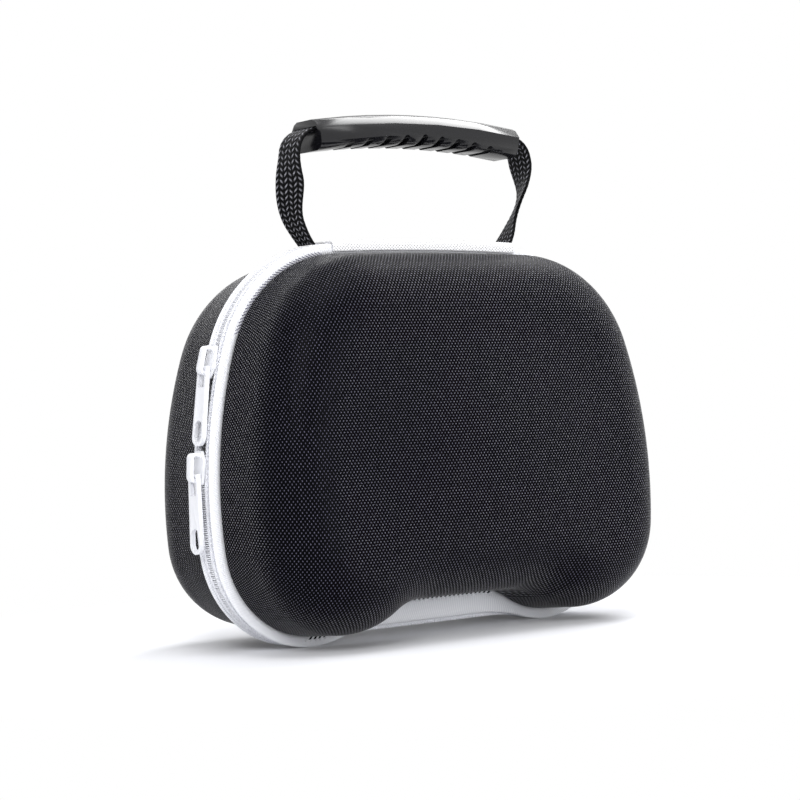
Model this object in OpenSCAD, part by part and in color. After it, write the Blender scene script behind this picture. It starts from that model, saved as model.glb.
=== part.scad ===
// Zipped hard-shell case for a game controller, in millimetres.
// Two moulded half shells meet at a padded seam band. The front one is the lid: it swings about the
// woven hinge strip on the crown. The origin is the middle of the base, on the surface that the case
// stands on, with +Z up and the lid facing -Y.

/* [Outline] */
// Width of the moulded shells at their widest
shell_w = 168; // [160:1:180]
// Height of the moulded shells from the lobes to the crown
shell_h = 126; // [122:1:134]
// Height of the widest point above the lobes
waist_h = 47; // [44:1:50]
// Radius of the nearly flat crown
crown_r = 1080; // [900:10:1300]
// Radius of the two upper corners
corner_r = 44; // [40:1:48]
// Radius of the bowed sides
side_r = 153; // [148:1:170]
// Radius of the two lobes at the foot
lobe_r = 33; // [31:1:36]
// Height of the notch between the lobes
notch_h = 9; // [8:0.5:11]
// Radius that leads from a lobe into the notch
notch_r = 24; // [20:1:28]

/* [Shells] */
// Depth of the base from the seam's middle plane to its face, halfway up
base_depth = 45.5; // [42:0.5:50]
// Depth of the lid from the seam's middle plane to its face, halfway up
lid_depth = 39; // [36:0.5:44]
// Share by which both are deeper at the foot than at the crown
foot_flare = 0.2; // [0:0.02:0.3]
// Thickness of the moulded laminate
shell_wall = 3.5; // [2.5:0.1:4.5]
// Radius of the rounding between wall and face
face_r = 20.5; // [16:0.5:22]
// Slope of the walls, in degrees
draft = 4.8; // [2:0.2:7]
// How far the middle of the face bulges out
face_bulge = 2; // [1:0.5:4]

/* [Seam band] */
// Half the distance between the rims of the two shells
rim_y = 3.3; // [3.2:0.1:4]
// How far the padded bindings stand out of the shells
band_out = 3.6; // [3.4:0.1:4.2]
// Width of each padded binding
binding_w = 2; // [1.8:0.1:3]
// Height of the bindings' shallow notch above the ground
band_notch_h = 4.5; // [3:0.5:6]
// Radius that leads into the bindings' notch
band_notch_r = 60; // [50:1:66]
// Thickness of the bias tape that covers the rim inside
inner_tape_t = 1.6; // [1:0.1:2]
// Width of the bias tape that covers the rim inside
inner_tape_w = 3; // [2:0.1:4]

/* [Zipper] */
// How far the chain stands out of the shells
chain_out = 3.5; // [3.3:0.1:3.6]
// Height of the chain's shallow notch above the ground
chain_notch_h = 2.8; // [2:0.1:4]
// Thickness of the chain
chain_t = 2; // [1.6:0.1:2.2]
// Distance between two teeth of one row
tooth_pitch = 1.4; // [1.3:0.1:1.6]
// Gap between a tooth and its two neighbours of the other row
tooth_gap = 0.2; // [0.15:0.05:0.25]
// How far a tooth reaches past the middle plane
tooth_reach = 0.8; // [0.5:0.1:0.9]
// Distance of the woven rib from the middle plane
rib_y = 1.3; // [1.2:0.1:1.5]
// Width of the woven rib that carries the teeth
rib_w = 1; // [0.8:0.1:1.1]
// Thickness of the woven tape
tape_t = 0.8; // [0.6:0.1:1]

/* [Sliders and pulls] */
// Angle of the upper slider above the waist, seen from the middle of the side's curve
upper_angle = 16.2; // [15:0.1:16.3]
// Angle of the lower slider above the waist
lower_angle = 3.7; // [1:0.1:3.9]
// Gap between moving pieces
clearance = 0.3; // [0.25:0.05:0.35]
// Length of a slider along the track
slider_l = 11; // [10.5:0.5:12]
// Width of a slider across the track
slider_w = 6; // [5.6:0.1:6.1]
// Thickness of the slider's plate
slider_t = 1; // [0.8:0.1:1.2]
// Height of the pull's pivot above the plate
pivot_h = 1.5; // [1.5:0.1:1.7]
// Width of the bridge that holds the pull
bridge_w = 2.6; // [2.2:0.1:2.8]
// Thickness of the bridge
bridge_t = 1.1; // [0.9:0.1:1.2]
// Length of a pull from its pivot to its tip
pull_l = 25; // [24:0.25:25.5]
// Width of a pull at its tip
pull_w = 6.4; // [6:0.1:7]
// Thickness of a pull
pull_t = 1.4; // [1.2:0.1:1.5]

/* [Hinge strip] */
// Length of the woven hinge strip along the crown
hinge_l = 78; // [72:1:78]
// Thickness of the woven strip
hinge_t = 0.8; // [0.6:0.1:1]
// How far the strip laps down over the bindings' sides
hinge_lap = 3; // [2:0.1:3.4]

/* [Handle] */
// How far the handle and the hinge strip are sewn in to the right of the middle
handle_x = 3; // [0:0.5:4]
// Place of the grip across the seam, behind its middle plane
handle_y = 1; // [1:0.5:3]
// Distance of each webbing foot from the middle
foot_x = 42; // [41:0.5:44]
// Width of the webbing
webbing_w = 12; // [11:0.5:12]
// Width of the webbing where it is sewn into the seam
webbing_foot_w = 9; // [8:0.5:10]
// Thickness of the webbing
webbing_t = 1.4; // [1.2:0.1:1.6]
// Twist of the webbing halfway up, in degrees
webbing_twist = 22; // [10:1:25]
// Height of the grip's middle above the crown's band
grip_h = 38.5; // [36:0.5:44]
// Length of the grip along its arch
grip_l = 86; // [80:1:90]
// Radius of the grip's arch
grip_arch_r = 300; // [240:10:400]
// Width of the grip across the webbing
grip_w = 17; // [17:0.5:18]
// Thickness of the grip at its middle
grip_t = 10.4; // [9.6:0.2:11.2]
// Number of slanted slots in the grip's underside
slot_count = 9; // [7:1:9]
// Width of a slot
slot_w = 2.4; // [2:0.1:2.8]
// Lean of the slots, in degrees
slot_lean = 28; // [20:1:34]

/* [Inside] */
// Height of the lid pocket's net above the lobes
net_h = 84; // [76:1:90]
// Thickness of the pocket's net
net_t = 0.8; // [0.6:0.1:1.2]
// Height of the elastic hem on the net
hem_h = 9; // [7:0.5:12]
// Thickness of the elastic hem
hem_t = 1.4; // [1.2:0.1:1.8]
// Width of the elastic retaining straps
strap_w = 25; // [20:1:30]
// Thickness of the elastic retaining straps
strap_t = 1.2; // [1:0.1:1.6]
// Height of the straps' middle above the lobes
strap_h = 74; // [66:1:80]
// Length of the hook-and-loop overlap
patch_l = 30; // [24:1:40]
// Thickness of the closed hook-and-loop pair
patch_t = 1.6; // [1.4:0.1:2]

/* [Hidden] */
$fn = 48;

black_nylon = "#1c1c22";
black_plastic = "#141416";
white_knit = "#eceef2";
white_tape = "#e2e3e8";
white_enamel = "#f4f4f6";
grey_lining = "#2b2b31";

// Points of the outline: segments on each arc of one half
crown_n = 3;
corner_n = 8;
side_n = 6;
lobe_n = 12;
notch_n = 4;

function polar(c, r, a) = c + r * [cos(a), sin(a)];
function arc(c, r, a0, a1, n) = [for (i = [1:n]) polar(c, r, a0 + (a1 - a0) * i / n)];
function direction(from, to) = atan2(to.y - from.y, to.x - from.x);
function mix(a, b, t) = a + (b - a) * t;

// Centres of the outline's arcs on the right half, as [x, z]
shell_z = band_out;
crown_c = [0, shell_z + shell_h - crown_r];
side_c = [shell_w / 2 - side_r, shell_z + waist_h];
lobe_c = [side_c.x + sqrt(pow(side_r - lobe_r, 2) - pow(waist_h - lobe_r, 2)), shell_z + lobe_r];
crown_to_side = side_c - crown_c;
centre_gap = norm(crown_to_side);
corner_along = (pow(crown_r - corner_r, 2) - pow(side_r - corner_r, 2) + pow(centre_gap, 2))
    / (2 * centre_gap);
corner_across = sqrt(pow(crown_r - corner_r, 2) - pow(corner_along, 2));
corner_c = crown_c + (crown_to_side * corner_along + [crown_to_side.y, -crown_to_side.x] * corner_across)
    / centre_gap;

// Angles at which one arc hands over to the next
crown_end = direction(crown_c, corner_c);
corner_end = direction(side_c, corner_c);
side_end = direction(side_c, lobe_c);

// Centre of the fillet from the lobe into a notch with its ceiling at height top
function fillet_c(off, top, r) =
    [lobe_c.x - sqrt(pow(lobe_r + off + r, 2) - pow(lobe_c.y - top + r, 2)), top - r];

// Right half of an outline that stands off the shells by off, from the crown down to the notch
function half_outline(off, top, r) =
    let (f = fillet_c(off, top, r))
    concat(
        [[0, crown_c.y + crown_r + off]],
        arc(crown_c, crown_r + off, 90, crown_end, crown_n),
        arc(corner_c, corner_r + off, crown_end, corner_end, corner_n),
        arc(side_c, side_r + off, corner_end, side_end, side_n),
        arc(lobe_c, lobe_r + off, side_end, direction(lobe_c, f), lobe_n),
        arc(f, r, direction(f, lobe_c), 90, notch_n),
        [[0, top]]
    );
function both_halves(half) =
    concat(half, [for (i = [len(half) - 2:-1:1]) [-half[i].x, half[i].y]]);

// Closed outlines as [x, z]: the shells set in by inset, the bindings, and the zipper set in
function shell_outline(inset) =
    both_halves(half_outline(-inset, shell_z + notch_h + inset, notch_r + inset));
function binding_outline() = both_halves(half_outline(band_out, band_notch_h, band_notch_r));
function chain_outline(inset) =
    both_halves(half_outline(chain_out - inset, chain_notch_h + inset, band_notch_r + inset));
function at_depth(outline, y) = [for (p = outline) [p.x, y, p.y]];

// Closed tube through rings of equal point counts, the last one joined to the first
module tube(rings) {
    m = len(rings);
    n = len(rings[0]);
    polyhedron(
        points = [for (ring = rings) each ring],
        faces = [
            for (i = [0:m - 1], j = [0:n - 1])
                let (k = (i + 1) % m * n, l = (j + 1) % n)
                each [[i * n + j, i * n + l, k + l], [i * n + j, k + l, k + j]]
        ]
    );
}

// Closed bowl through rings that run from the point first to the point last
module bowl(first, rings, last) {
    m = len(rings);
    n = len(rings[0]);
    polyhedron(
        points = concat([first], [for (ring = rings) each ring], [last]),
        faces = concat(
            [for (j = [0:n - 1]) [0, 1 + (j + 1) % n, 1 + j]],
            [
                for (i = [0:m - 2], j = [0:n - 1])
                    let (a = 1 + i * n, b = a + n, l = (j + 1) % n)
                    each [[a + j, a + l, b + l], [a + j, b + l, b + j]]
            ],
            [for (j = [0:n - 1]) [m * n + 1, 1 + (m - 1) * n + j, 1 + (m - 1) * n + (j + 1) % n]]
        )
    );
}

// Moulded half shell: straight behind the binding, then drafted, rounded and domed
wall_start = rim_y + max(binding_w, inner_tape_w) + 0.4;
round_n = 5;
inner_round_n = 4;
dome_steps = [0.3, 0.65];
face_middle = [0, mix(shell_z + notch_h, shell_z + shell_h, 0.5)];

// Behind the straight rim the depth grows towards the foot
function flared(p) =
    [p.x, wall_start + (p.y - wall_start) * (1 + foot_flare * (0.5 - (p.z - shell_z) / shell_h)), p.z];
function wall_ring(y, inset) = [for (p = at_depth(shell_outline(inset), y)) flared(p)];
function rounding(y, inset, r, n) =
    [for (i = [1:n]) wall_ring(y + r * sin(90 * i / n), inset + r * (1 - cos(90 * i / n)))];

module half_shell(depth) {
    wall_end = depth - face_r;
    wall_inset = (wall_end - wall_start) * tan(draft);
    inner_r = face_r - shell_wall;
    rounded = rounding(wall_end, wall_inset, face_r, round_n);
    domed = [
        for (t = dome_steps)
            [
                for (p = shell_outline(wall_inset + face_r))
                    let (q = mix(p, face_middle, t))
                    flared([q.x, depth + face_bulge * t * (2 - t), q.y])
            ]
    ];
    outside = concat(
        [for (i = [len(domed) - 1:-1:0]) domed[i]],
        [for (i = [round_n - 1:-1:0]) rounded[i]],
        [wall_ring(wall_end, wall_inset), at_depth(shell_outline(0), wall_start)],
        [at_depth(shell_outline(0), rim_y)]
    );
    inside = concat(
        [at_depth(shell_outline(shell_wall), rim_y), at_depth(shell_outline(shell_wall), wall_start)],
        [wall_ring(wall_end, shell_wall + wall_inset)],
        rounding(wall_end, shell_wall + wall_inset, inner_r, inner_round_n)
    );
    bowl(
        flared([face_middle.x, depth + face_bulge, face_middle.y]),
        concat(outside, inside),
        flared([face_middle.x, depth - shell_wall, face_middle.y])
    );
}

// Padded binding: a roll on the shell's edge that widens to a flat flange over the notch.
// Each point is [share of the way from the shell to the band's outside, share of the width].
binding_section = [[0, 0], [0.88, 0], [1, 0.15], [1, 0.5], [0.88, 0.82], [0.55, 1], [0, 1]];

module binding() {
    inner = shell_outline(0);
    outer = binding_outline();
    tube([
        for (s = binding_section)
            [
                for (i = [0:len(inner) - 1])
                    let (p = mix(inner[i], outer[i], s[0])) [p.x, rim_y + binding_w * s[1], p.y]
            ]
    ]);
}

// Bias tape sewn over the raw rim inside a shell
module inner_tape() {
    tube([
        at_depth(shell_outline(shell_wall), rim_y),
        at_depth(shell_outline(shell_wall), rim_y + inner_tape_w),
        at_depth(shell_outline(shell_wall + inner_tape_t), rim_y + inner_tape_w),
        at_depth(shell_outline(shell_wall + inner_tape_t), rim_y)
    ]);
}

// Zipper tape with the woven rib that carries its teeth
module zipper_tape() {
    low = chain_t + 0.2;
    tube([
        at_depth(chain_outline(low), rib_y),
        at_depth(chain_outline(0), rib_y),
        at_depth(chain_outline(0), rib_y + rib_w),
        at_depth(chain_outline(low - tape_t), rib_y + rib_w),
        at_depth(chain_outline(low - tape_t), rim_y),
        at_depth(chain_outline(low), rim_y)
    ]);
}

// One tooth, standing on the chain's outer line and growing inwards along -X
tooth_l = tooth_pitch / 2 - tooth_gap;
tooth_drop = 0.1;
module tooth() {
    translate([-chain_t, -tooth_reach, -tooth_l / 2])
        cube([chain_t - tooth_drop, tooth_reach + rib_y, tooth_l]);
}

// A row of teeth along an arc of the chain, on both halves and beyond the hinge strip's ends.
// Phase 0 or 0.5 sets the two rows apart, and inward turns the teeth where the arc is hollow.
module teeth_on_arc(c, r, a0, a1, phase, inward = 0) {
    n = round(r * abs(a1 - a0) * PI / 180 / tooth_pitch);
    for (side = [0, 1], i = [0:n - 1]) {
        a = a0 + (a1 - a0) * (i + 0.25 + phase) / n;
        strip_end = hinge_l / 2 + tooth_pitch + (side == 0 ? handle_x : -handle_x);
        if (a < 0 || c.x + r * cos(a) > strip_end)
            mirror([side, 0, 0]) translate([c.x, 0, c.y]) rotate([0, -a, 0])
                translate([r, 0, 0]) mirror([inward, 0, 0]) tooth();
    }
}

module zipper_teeth(phase) {
    f = fillet_c(chain_out, chain_notch_h, band_notch_r);
    teeth_on_arc(crown_c, crown_r + chain_out, 90, crown_end, phase);
    teeth_on_arc(corner_c, corner_r + chain_out, crown_end, corner_end, phase);
    teeth_on_arc(side_c, side_r + chain_out, corner_end, side_end, phase);
    teeth_on_arc(lobe_c, lobe_r + chain_out, side_end, direction(lobe_c, f), phase);
    teeth_on_arc(f, band_notch_r, direction(f, lobe_c), 90, phase, 1);
    n = floor(f.x / tooth_pitch - 0.5);
    for (i = [-n:n - 1])
        translate([(i + 0.25 + phase) * tooth_pitch, 0, chain_notch_h]) rotate([0, 90, 0]) tooth();
}

// Places its children on the left side's track: -X points out, +Z up the track
module on_track(angle) {
    translate([-side_c.x, 0, side_c.y])
        rotate([0, angle, 0])
            translate([-(side_r + chain_out), 0, 0])
                children();
}
// Extrudes an outline drawn as [z, y] outwards along -X
module outwards(h) {
    rotate([0, -90, 0]) linear_extrude(h) children();
}

// Slider: a shield-shaped plate over the chain with a lip behind the back rib, and the bridge.
// nose is 1 where the nose points up the track and -1 where it points down.
bridge_h = pivot_h + pull_t / 2 + clearance + bridge_t;
bridge_l = slider_l - 1.4;
bridge_round = 1.9;
lip_y = rib_y + rib_w + clearance;
slot_end = bridge_l / 2 - bridge_t;
pivot_z = -(slot_end - pull_t / 2 - clearance);

module slider_plan(nose) {
    tail_w = slider_w * 0.62;
    nose_w = slider_w * 0.5;
    r = 0.8;
    offset(r = r) offset(delta = -r)
        polygon([
            [-nose * slider_l / 2, tail_w / 2], [nose * slider_l * 0.16, slider_w / 2],
            [nose * slider_l / 2, nose_w / 2], [nose * slider_l / 2, -nose_w / 2],
            [nose * slider_l * 0.16, -slider_w / 2], [-nose * slider_l / 2, -tail_w / 2]
        ]);
}
module bridge_side() {
    difference() {
        hull() {
            for (z = [-1, 1]) translate([z * (bridge_l / 2 - bridge_round), bridge_h - bridge_round])
                circle(bridge_round);
            translate([-bridge_l / 2, -0.2]) square([bridge_l, 0.2]);
        }
        hull()
            for (z = [-1, 1], x = [0.8, bridge_h - bridge_t - 0.8])
                translate([z * (slot_end - 0.8), x]) circle(0.8);
    }
}
module slider(nose) {
    color(white_enamel) {
        translate([-clearance, 0, 0]) {
            outwards(slider_t) slider_plan(nose);
            translate([-slider_t, 0, 0]) rotate([0, -90, 0]) rotate([90, 0, 0])
                translate([0, 0, -bridge_w / 2]) linear_extrude(bridge_w) bridge_side();
        }
        lip_h = chain_t - tape_t - 0.2;
        translate([lip_h - clearance, 0, 0])
            outwards(lip_h)
                intersection() {
                    slider_plan(nose);
                    translate([-slider_l, lip_y]) square([2 * slider_l, slider_w]);
                }
    }
}

// Pull, drawn as [z, y] about its pivot and hanging down: an eye round the bridge, a flat shank
// that widens to the tip, and the oval hole there
eye_l = bridge_l - bridge_t - 2.4;
eye_w = bridge_w + 2 * clearance;
eye_wall = 1;
tip_r = pull_w / 2;
hole_w = pull_w - 2.4;
hole_l = 7;

module pull_plan() {
    difference() {
        hull() {
            square([pull_t, eye_w + 2 * eye_wall], center = true);
            translate([tip_r - pull_l, 0]) circle(tip_r);
        }
        translate([-eye_l, -eye_w / 2]) square([eye_l - pull_t / 2, eye_w]);
        hull() for (z = [0, hole_l - hole_w])
            translate([tip_r - pull_l + z, 0]) circle(hole_w / 2);
    }
}

// Rest lean of the upper pull, where its tip lies against the chain
track_r = side_r + chain_out;
pivot_r = track_r + clearance + slider_t + pivot_h;
rest_r = track_r + clearance + pull_t / 2;
rest_lean = asin((pow(pivot_r, 2) + pow(pull_l, 2) - pow(rest_r, 2)) / (2 * pivot_r * pull_l));

// A pull on the slider at angle, swung in from the track's tangent by lean
module pull(angle, lean) {
    color(white_enamel)
        on_track(angle)
            translate([-(clearance + slider_t + pivot_h), 0, pivot_z])
                rotate([0, -lean, 0]) {
                    translate([pull_t / 2, 0, 0]) outwards(pull_t)
                        difference() {
                            pull_plan();
                            square([pull_t, eye_w], center = true);
                        }
                    rotate([90, 0, 0]) cylinder(h = eye_w + 0.4, r = pull_t / 2, center = true);
                }
}

// Hinge strip: a woven band folded over both bindings along the crown
strip_gap = 0.2;
module hinge_strip() {
    top = crown_r + band_out + strip_gap;
    low = top - hinge_lap;
    out = rim_y + binding_w + strip_gap;
    bevel = binding_w / 3;
    half_a = asin(hinge_l / 2 / top);
    section = [
        [top, out - bevel - strip_gap], [top - 2 * bevel, out], [low, out], [low, out + hinge_t],
        [top - 2 * bevel + hinge_t / 3, out + hinge_t], [top + hinge_t, out - bevel]
    ];
    color(white_tape)
        translate([0, 0, crown_c.y]) rotate([90, 0, 0])
            rotate([0, 0, 90 - half_a - asin(handle_x / top)])
                rotate_extrude(angle = 2 * half_a, $fn = 360)
                    polygon(concat(
                        section,
                        [for (i = [len(section) - 1:-1:0]) [section[i].x, -section[i].y]]
                    ));
}

// Handle: the grip is an arch about arch_c, and the webbing's centre line runs through it and
// down to the two feet, drawn as [x, z] about the handle's own middle
foot_y = webbing_foot_w / 2 + clearance;
crown_top = shell_z + shell_h + band_out;
arch_c = [0, crown_top + grip_h - grip_arch_r];
grip_half = grip_l / 2 / grip_arch_r * 180 / PI;
channel_up = 1.8;
arch_r = grip_arch_r + channel_up;
bend_r = 8;
bend_c = polar(arch_c, arch_r - bend_r, 90 - grip_half);
leg_r = 38;

// Height of the band's upper line at x
crown_edge = (crown_r + band_out) * cos(crown_end);
function band_top(x) = abs(x) < crown_edge
    ? crown_c.y + sqrt(pow(crown_r + band_out, 2) - x * x)
    : corner_c.y + sqrt(pow(corner_r + band_out, 2) - pow(abs(x) - corner_c.x, 2));

// Half of the centre line: along the arch, round the bend at the grip's end, and down the leg,
// whose arc touches the bend's from outside it and ends at the foot
function half_path(end_z) =
    let (
        foot = [foot_x, end_z],
        reach = foot - bend_c,
        gap = norm(reach),
        along = (pow(gap, 2) + pow(leg_r - bend_r, 2) - pow(leg_r, 2)) / (2 * gap),
        aside = sqrt(pow(leg_r - bend_r, 2) - pow(along, 2)),
        leg_c = bend_c + (reach * along + [reach.y, -reach.x] * aside) / gap,
        turn = direction(leg_c, bend_c)
    )
    concat(
        [[0, arch_c.y + arch_r]],
        arc(arch_c, arch_r, 90, 90 - grip_half, 5),
        arc(bend_c, bend_r, 90 - grip_half, turn, 5),
        arc(leg_c, leg_r, turn, direction(leg_c, foot), 8)
    );
right_path = half_path(band_top(handle_x + foot_x) + clearance);
left_path = half_path(band_top(handle_x - foot_x) + clearance);
path = concat(
    [for (i = [len(left_path) - 1:-1:1]) [-left_path[i].x, left_path[i].y]],
    right_path
);

// Direction across the path at each point, level at both feet
function across(i) =
    i == 0 ? [-1, 0] : i == len(path) - 1 ? [1, 0] :
    let (d = (path[i + 1] - path[i - 1]) / norm(path[i + 1] - path[i - 1])) [-d.y, d.x];
function smooth(t) = let (u = min(max(t, 0), 1)) u * u * (3 - 2 * u);
// From 1 at a foot to 0 above it: the foot stays narrow until it is clear of the lid's rising edge
foot_rise = rim_y + binding_w + 1.2;
function to_foot(z) = 1 - smooth((z - crown_top - foot_rise) / 15);
leg_top = arch_c.y + arch_r * cos(grip_half) - bend_r;
function twist_at(p) =
    p.y > leg_top ? 0 : webbing_twist * pow(sin(180 * (p.y - crown_top) / (leg_top - crown_top)), 2);

module handle_webbing() {
    n = len(path);
    ring = [
        for (i = [0:n - 1])
            let (
                a = across(i),
                t = to_foot(path[i].y),
                turn = i == 0 || i == n - 1 ? 0 : twist_at(path[i]),
                middle = [path[i].x + handle_x, mix(handle_y, foot_y, t), path[i].y],
                w = mix(webbing_w, webbing_foot_w, t) / 2 * [a.x * sin(turn), cos(turn), a.y * sin(turn)],
                o = webbing_t / 2 * [a.x * cos(turn), -sin(turn), a.y * cos(turn)]
            )
            [middle + o - w, middle + o + w, middle - o + w, middle - o - w]
    ];
    color(black_nylon)
        polyhedron(
            points = [for (r = ring) each r],
            faces = concat(
                [[0, 1, 2, 3]],
                [
                    for (i = [0:n - 2], j = [0:3])
                        let (a = 4 * i, b = a + 4, l = (j + 1) % 4)
                        each [[a + j, b + l, a + l], [a + j, b + j, b + l]]
                ],
                [[4 * n - 1, 4 * n - 2, 4 * n - 3, 4 * n - 4]]
            )
        );
}

// Grip: an arched bar with bevelled edges, a channel for the webbing and slots underneath
module grip_section() {
    top = grip_arch_r + grip_t / 2;
    bottom = grip_arch_r - grip_t / 2;
    side = grip_w / 2;
    difference() {
        polygon(concat(
            [[bottom, side - 3.6], [bottom + 1, side - 1.4], [bottom + 2.8, side - 0.3]],
            [[top - 3.4, side], [top - 0.8, side - 2.4], [top, side - 4.2]],
            [[top, 4.2 - side], [top - 0.8, 2.4 - side], [top - 3.4, -side]],
            [[bottom + 2.8, 0.3 - side], [bottom + 1, 1.4 - side], [bottom, 3.6 - side]]
        ));
        translate([arch_r, 0])
            square([webbing_t + 2 * clearance, webbing_w + 2 * clearance], center = true);
    }
}
module on_arch(a) {
    translate([handle_x, handle_y, arch_c.y]) rotate([0, a, 0]) children();
}
// The slots are longest in the middle and lean with their tops to the right
slot_floor = webbing_t / 2 + clearance + 1;
slot_deep = arch_r - slot_floor - (grip_arch_r - grip_t / 2);
slot_step = 7.6;
module handle_grip() {
    color(black_plastic)
        difference() {
            on_arch(0) rotate([90, 0, 0]) rotate([0, 0, 90 - grip_half])
                rotate_extrude(angle = 2 * grip_half, $fn = 360) grip_section();
            for (i = [0:slot_count - 1]) {
                k = i - (slot_count - 1) / 2;
                h = slot_deep * (1 - 0.35 * abs(k) / (slot_count / 2));
                on_arch(k * slot_step / grip_arch_r * 180 / PI)
                    translate([0, 0, grip_arch_r - grip_t / 2]) rotate([0, slot_lean, 0]) {
                        translate([-slot_w / 2, -grip_w, -slot_w - 2])
                            cube([slot_w, 2 * grip_w, h + 2]);
                        translate([0, 0, h - slot_w]) rotate([90, 0, 0])
                            cylinder(h = 2 * grip_w, d = slot_w, center = true);
                    }
            }
        }
}

// Lid pocket: a net behind the bias tape with an elastic hem along its upper edge
net_y = rim_y + inner_tape_w;
module behind_tape(y, t, low, high) {
    rotate([90, 0, 0]) translate([0, 0, y])
        linear_extrude(t)
            intersection() {
                polygon(shell_outline(shell_wall + 0.15));
                translate([-shell_w, shell_z + low]) square([2 * shell_w, high - low]);
            }
}
module pocket_net() {
    color(grey_lining) behind_tape(net_y, net_t, 0, net_h);
}
module pocket_hem() {
    color(black_nylon) behind_tape(net_y, hem_t, net_h, net_h + hem_h);
}

// Elastic straps across the base, closed over the controller by a hook-and-loop pair. Each runs
// from a leg on the wall, below the bias tape, to the overlap in the middle.
wall_at_strap = side_c.x + sqrt(pow(side_r - shell_wall, 2)
    - pow(shell_z + strap_h + strap_w / 2 - side_c.y, 2));
strap_reach = wall_at_strap - 1.2;
strap_y = 9;
module strap(y) {
    top = shell_z + strap_h + strap_w / 2;
    color(black_nylon)
        translate([0, 0, top - strap_w]) linear_extrude(strap_w)
            polygon([
                [-patch_l / 2, y], [strap_reach - strap_t, y], [strap_reach - strap_t, net_y + 0.3],
                [strap_reach, net_y + 0.3], [strap_reach, y + strap_t], [-patch_l / 2, y + strap_t]
            ]);
}

module back_shell() {
    color(black_nylon) half_shell(base_depth);
}
module front_shell() {
    color(black_nylon) mirror([0, 1, 0]) half_shell(lid_depth);
}
module back_binding() {
    color(white_knit) binding();
}
module front_binding() {
    color(white_knit) mirror([0, 1, 0]) binding();
}
module back_inner_tape() {
    color(grey_lining) inner_tape();
}
module front_inner_tape() {
    color(grey_lining) mirror([0, 1, 0]) inner_tape();
}
module back_zipper_tape() {
    color(white_tape) zipper_tape();
}
module front_zipper_tape() {
    color(white_tape) mirror([0, 1, 0]) zipper_tape();
}
module back_zipper_teeth() {
    color(white_enamel) zipper_teeth(0);
}
module front_zipper_teeth() {
    color(white_enamel) mirror([0, 1, 0]) zipper_teeth(0.5);
}
module upper_slider() {
    on_track(upper_angle) slider(-1);
}
module upper_pull() {
    pull(upper_angle, rest_lean);
}
module lower_slider() {
    on_track(lower_angle) slider(1);
}
module lower_pull() {
    pull(lower_angle, min(lower_angle, rest_lean));
}
module left_strap() {
    mirror([1, 0, 0]) strap(strap_y);
}
module right_strap() {
    strap(strap_y + strap_t + patch_t);
}
module strap_patch() {
    color(grey_lining)
        translate([-patch_l / 2, strap_y + strap_t, shell_z + strap_h - strap_w / 2])
            cube([patch_l, patch_t, strap_w]);
}

back_shell();
front_shell();
back_binding();
front_binding();
back_inner_tape();
front_inner_tape();
back_zipper_tape();
front_zipper_tape();
back_zipper_teeth();
front_zipper_teeth();
upper_slider();
upper_pull();
lower_slider();
lower_pull();
hinge_strip();
handle_webbing();
handle_grip();
pocket_net();
pocket_hem();
left_strap();
right_strap();
strap_patch();
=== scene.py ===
import bmesh
import bpy
import math
import numpy as np
from mathutils import Matrix, Vector


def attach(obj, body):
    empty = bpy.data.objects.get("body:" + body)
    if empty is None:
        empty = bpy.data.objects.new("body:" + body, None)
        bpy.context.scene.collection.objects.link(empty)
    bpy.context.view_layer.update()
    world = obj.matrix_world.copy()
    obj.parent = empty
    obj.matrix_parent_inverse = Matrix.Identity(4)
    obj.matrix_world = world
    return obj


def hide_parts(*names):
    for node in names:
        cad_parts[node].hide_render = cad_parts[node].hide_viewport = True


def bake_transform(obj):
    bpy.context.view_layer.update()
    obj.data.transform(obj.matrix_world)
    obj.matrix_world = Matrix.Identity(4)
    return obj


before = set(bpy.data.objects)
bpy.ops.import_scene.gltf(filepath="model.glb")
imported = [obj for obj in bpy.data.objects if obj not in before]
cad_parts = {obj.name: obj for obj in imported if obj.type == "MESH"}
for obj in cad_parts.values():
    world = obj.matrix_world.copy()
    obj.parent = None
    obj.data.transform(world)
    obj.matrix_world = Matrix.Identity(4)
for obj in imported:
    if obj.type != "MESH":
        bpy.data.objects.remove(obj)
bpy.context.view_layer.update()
print("frame loaded:", len(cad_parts), "nodes")

mm = 0.001


def linear(hexColour):
    # sRGB hex to the linear colour that the shader takes
    parts = [int(hexColour[i:i + 2], 16) / 255 for i in (1, 3, 5)]
    return [c / 12.92 if c <= 0.04045 else ((c + 0.055) / 1.055) ** 2.4 for c in parts] + [1.0]


def addNode(tree, kind, settings=None, links=None):
    # one node: settings are attributes or input values, and links give each input its source, a
    # node or (node, output)
    node = tree.nodes.new(kind)
    for key, value in (settings or {}).items():
        if isinstance(key, str) and hasattr(node, key) and key not in node.inputs:
            setattr(node, key, value)
        else:
            node.inputs[key].default_value = value
    for key, source in (links or {}).items():
        origin, output = source if isinstance(source, tuple) else (source, 0)
        tree.links.new(origin.outputs[output], node.inputs[key])
    return node


def newMaterial(name, base, rough, specular=0.5, sheen=(0.0, 0.5)):
    # a Principled surface with its plain values on its own sockets; sheen is weight and roughness
    material = bpy.data.materials.new(name)
    material.use_nodes = True
    surface = material.node_tree.nodes["Principled BSDF"]
    plain = {"Base Color": linear(base), "Roughness": rough, "Specular IOR Level": specular,
             "Sheen Weight": sheen[0], "Sheen Roughness": sheen[1]}
    for key, value in plain.items():
        surface.inputs[key].default_value = value
    return material, material.node_tree, surface


def wave(tree, coordinate, pitch):
    # a cosine of the coordinate with the given pitch in millimetres, from -1 to 1
    turns = addNode(tree, "ShaderNodeMath", {"operation": "MULTIPLY", 1: 2 * math.pi / (pitch * mm)},
                    {0: coordinate})
    return addNode(tree, "ShaderNodeMath", {"operation": "COSINE"}, {0: turns})


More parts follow.
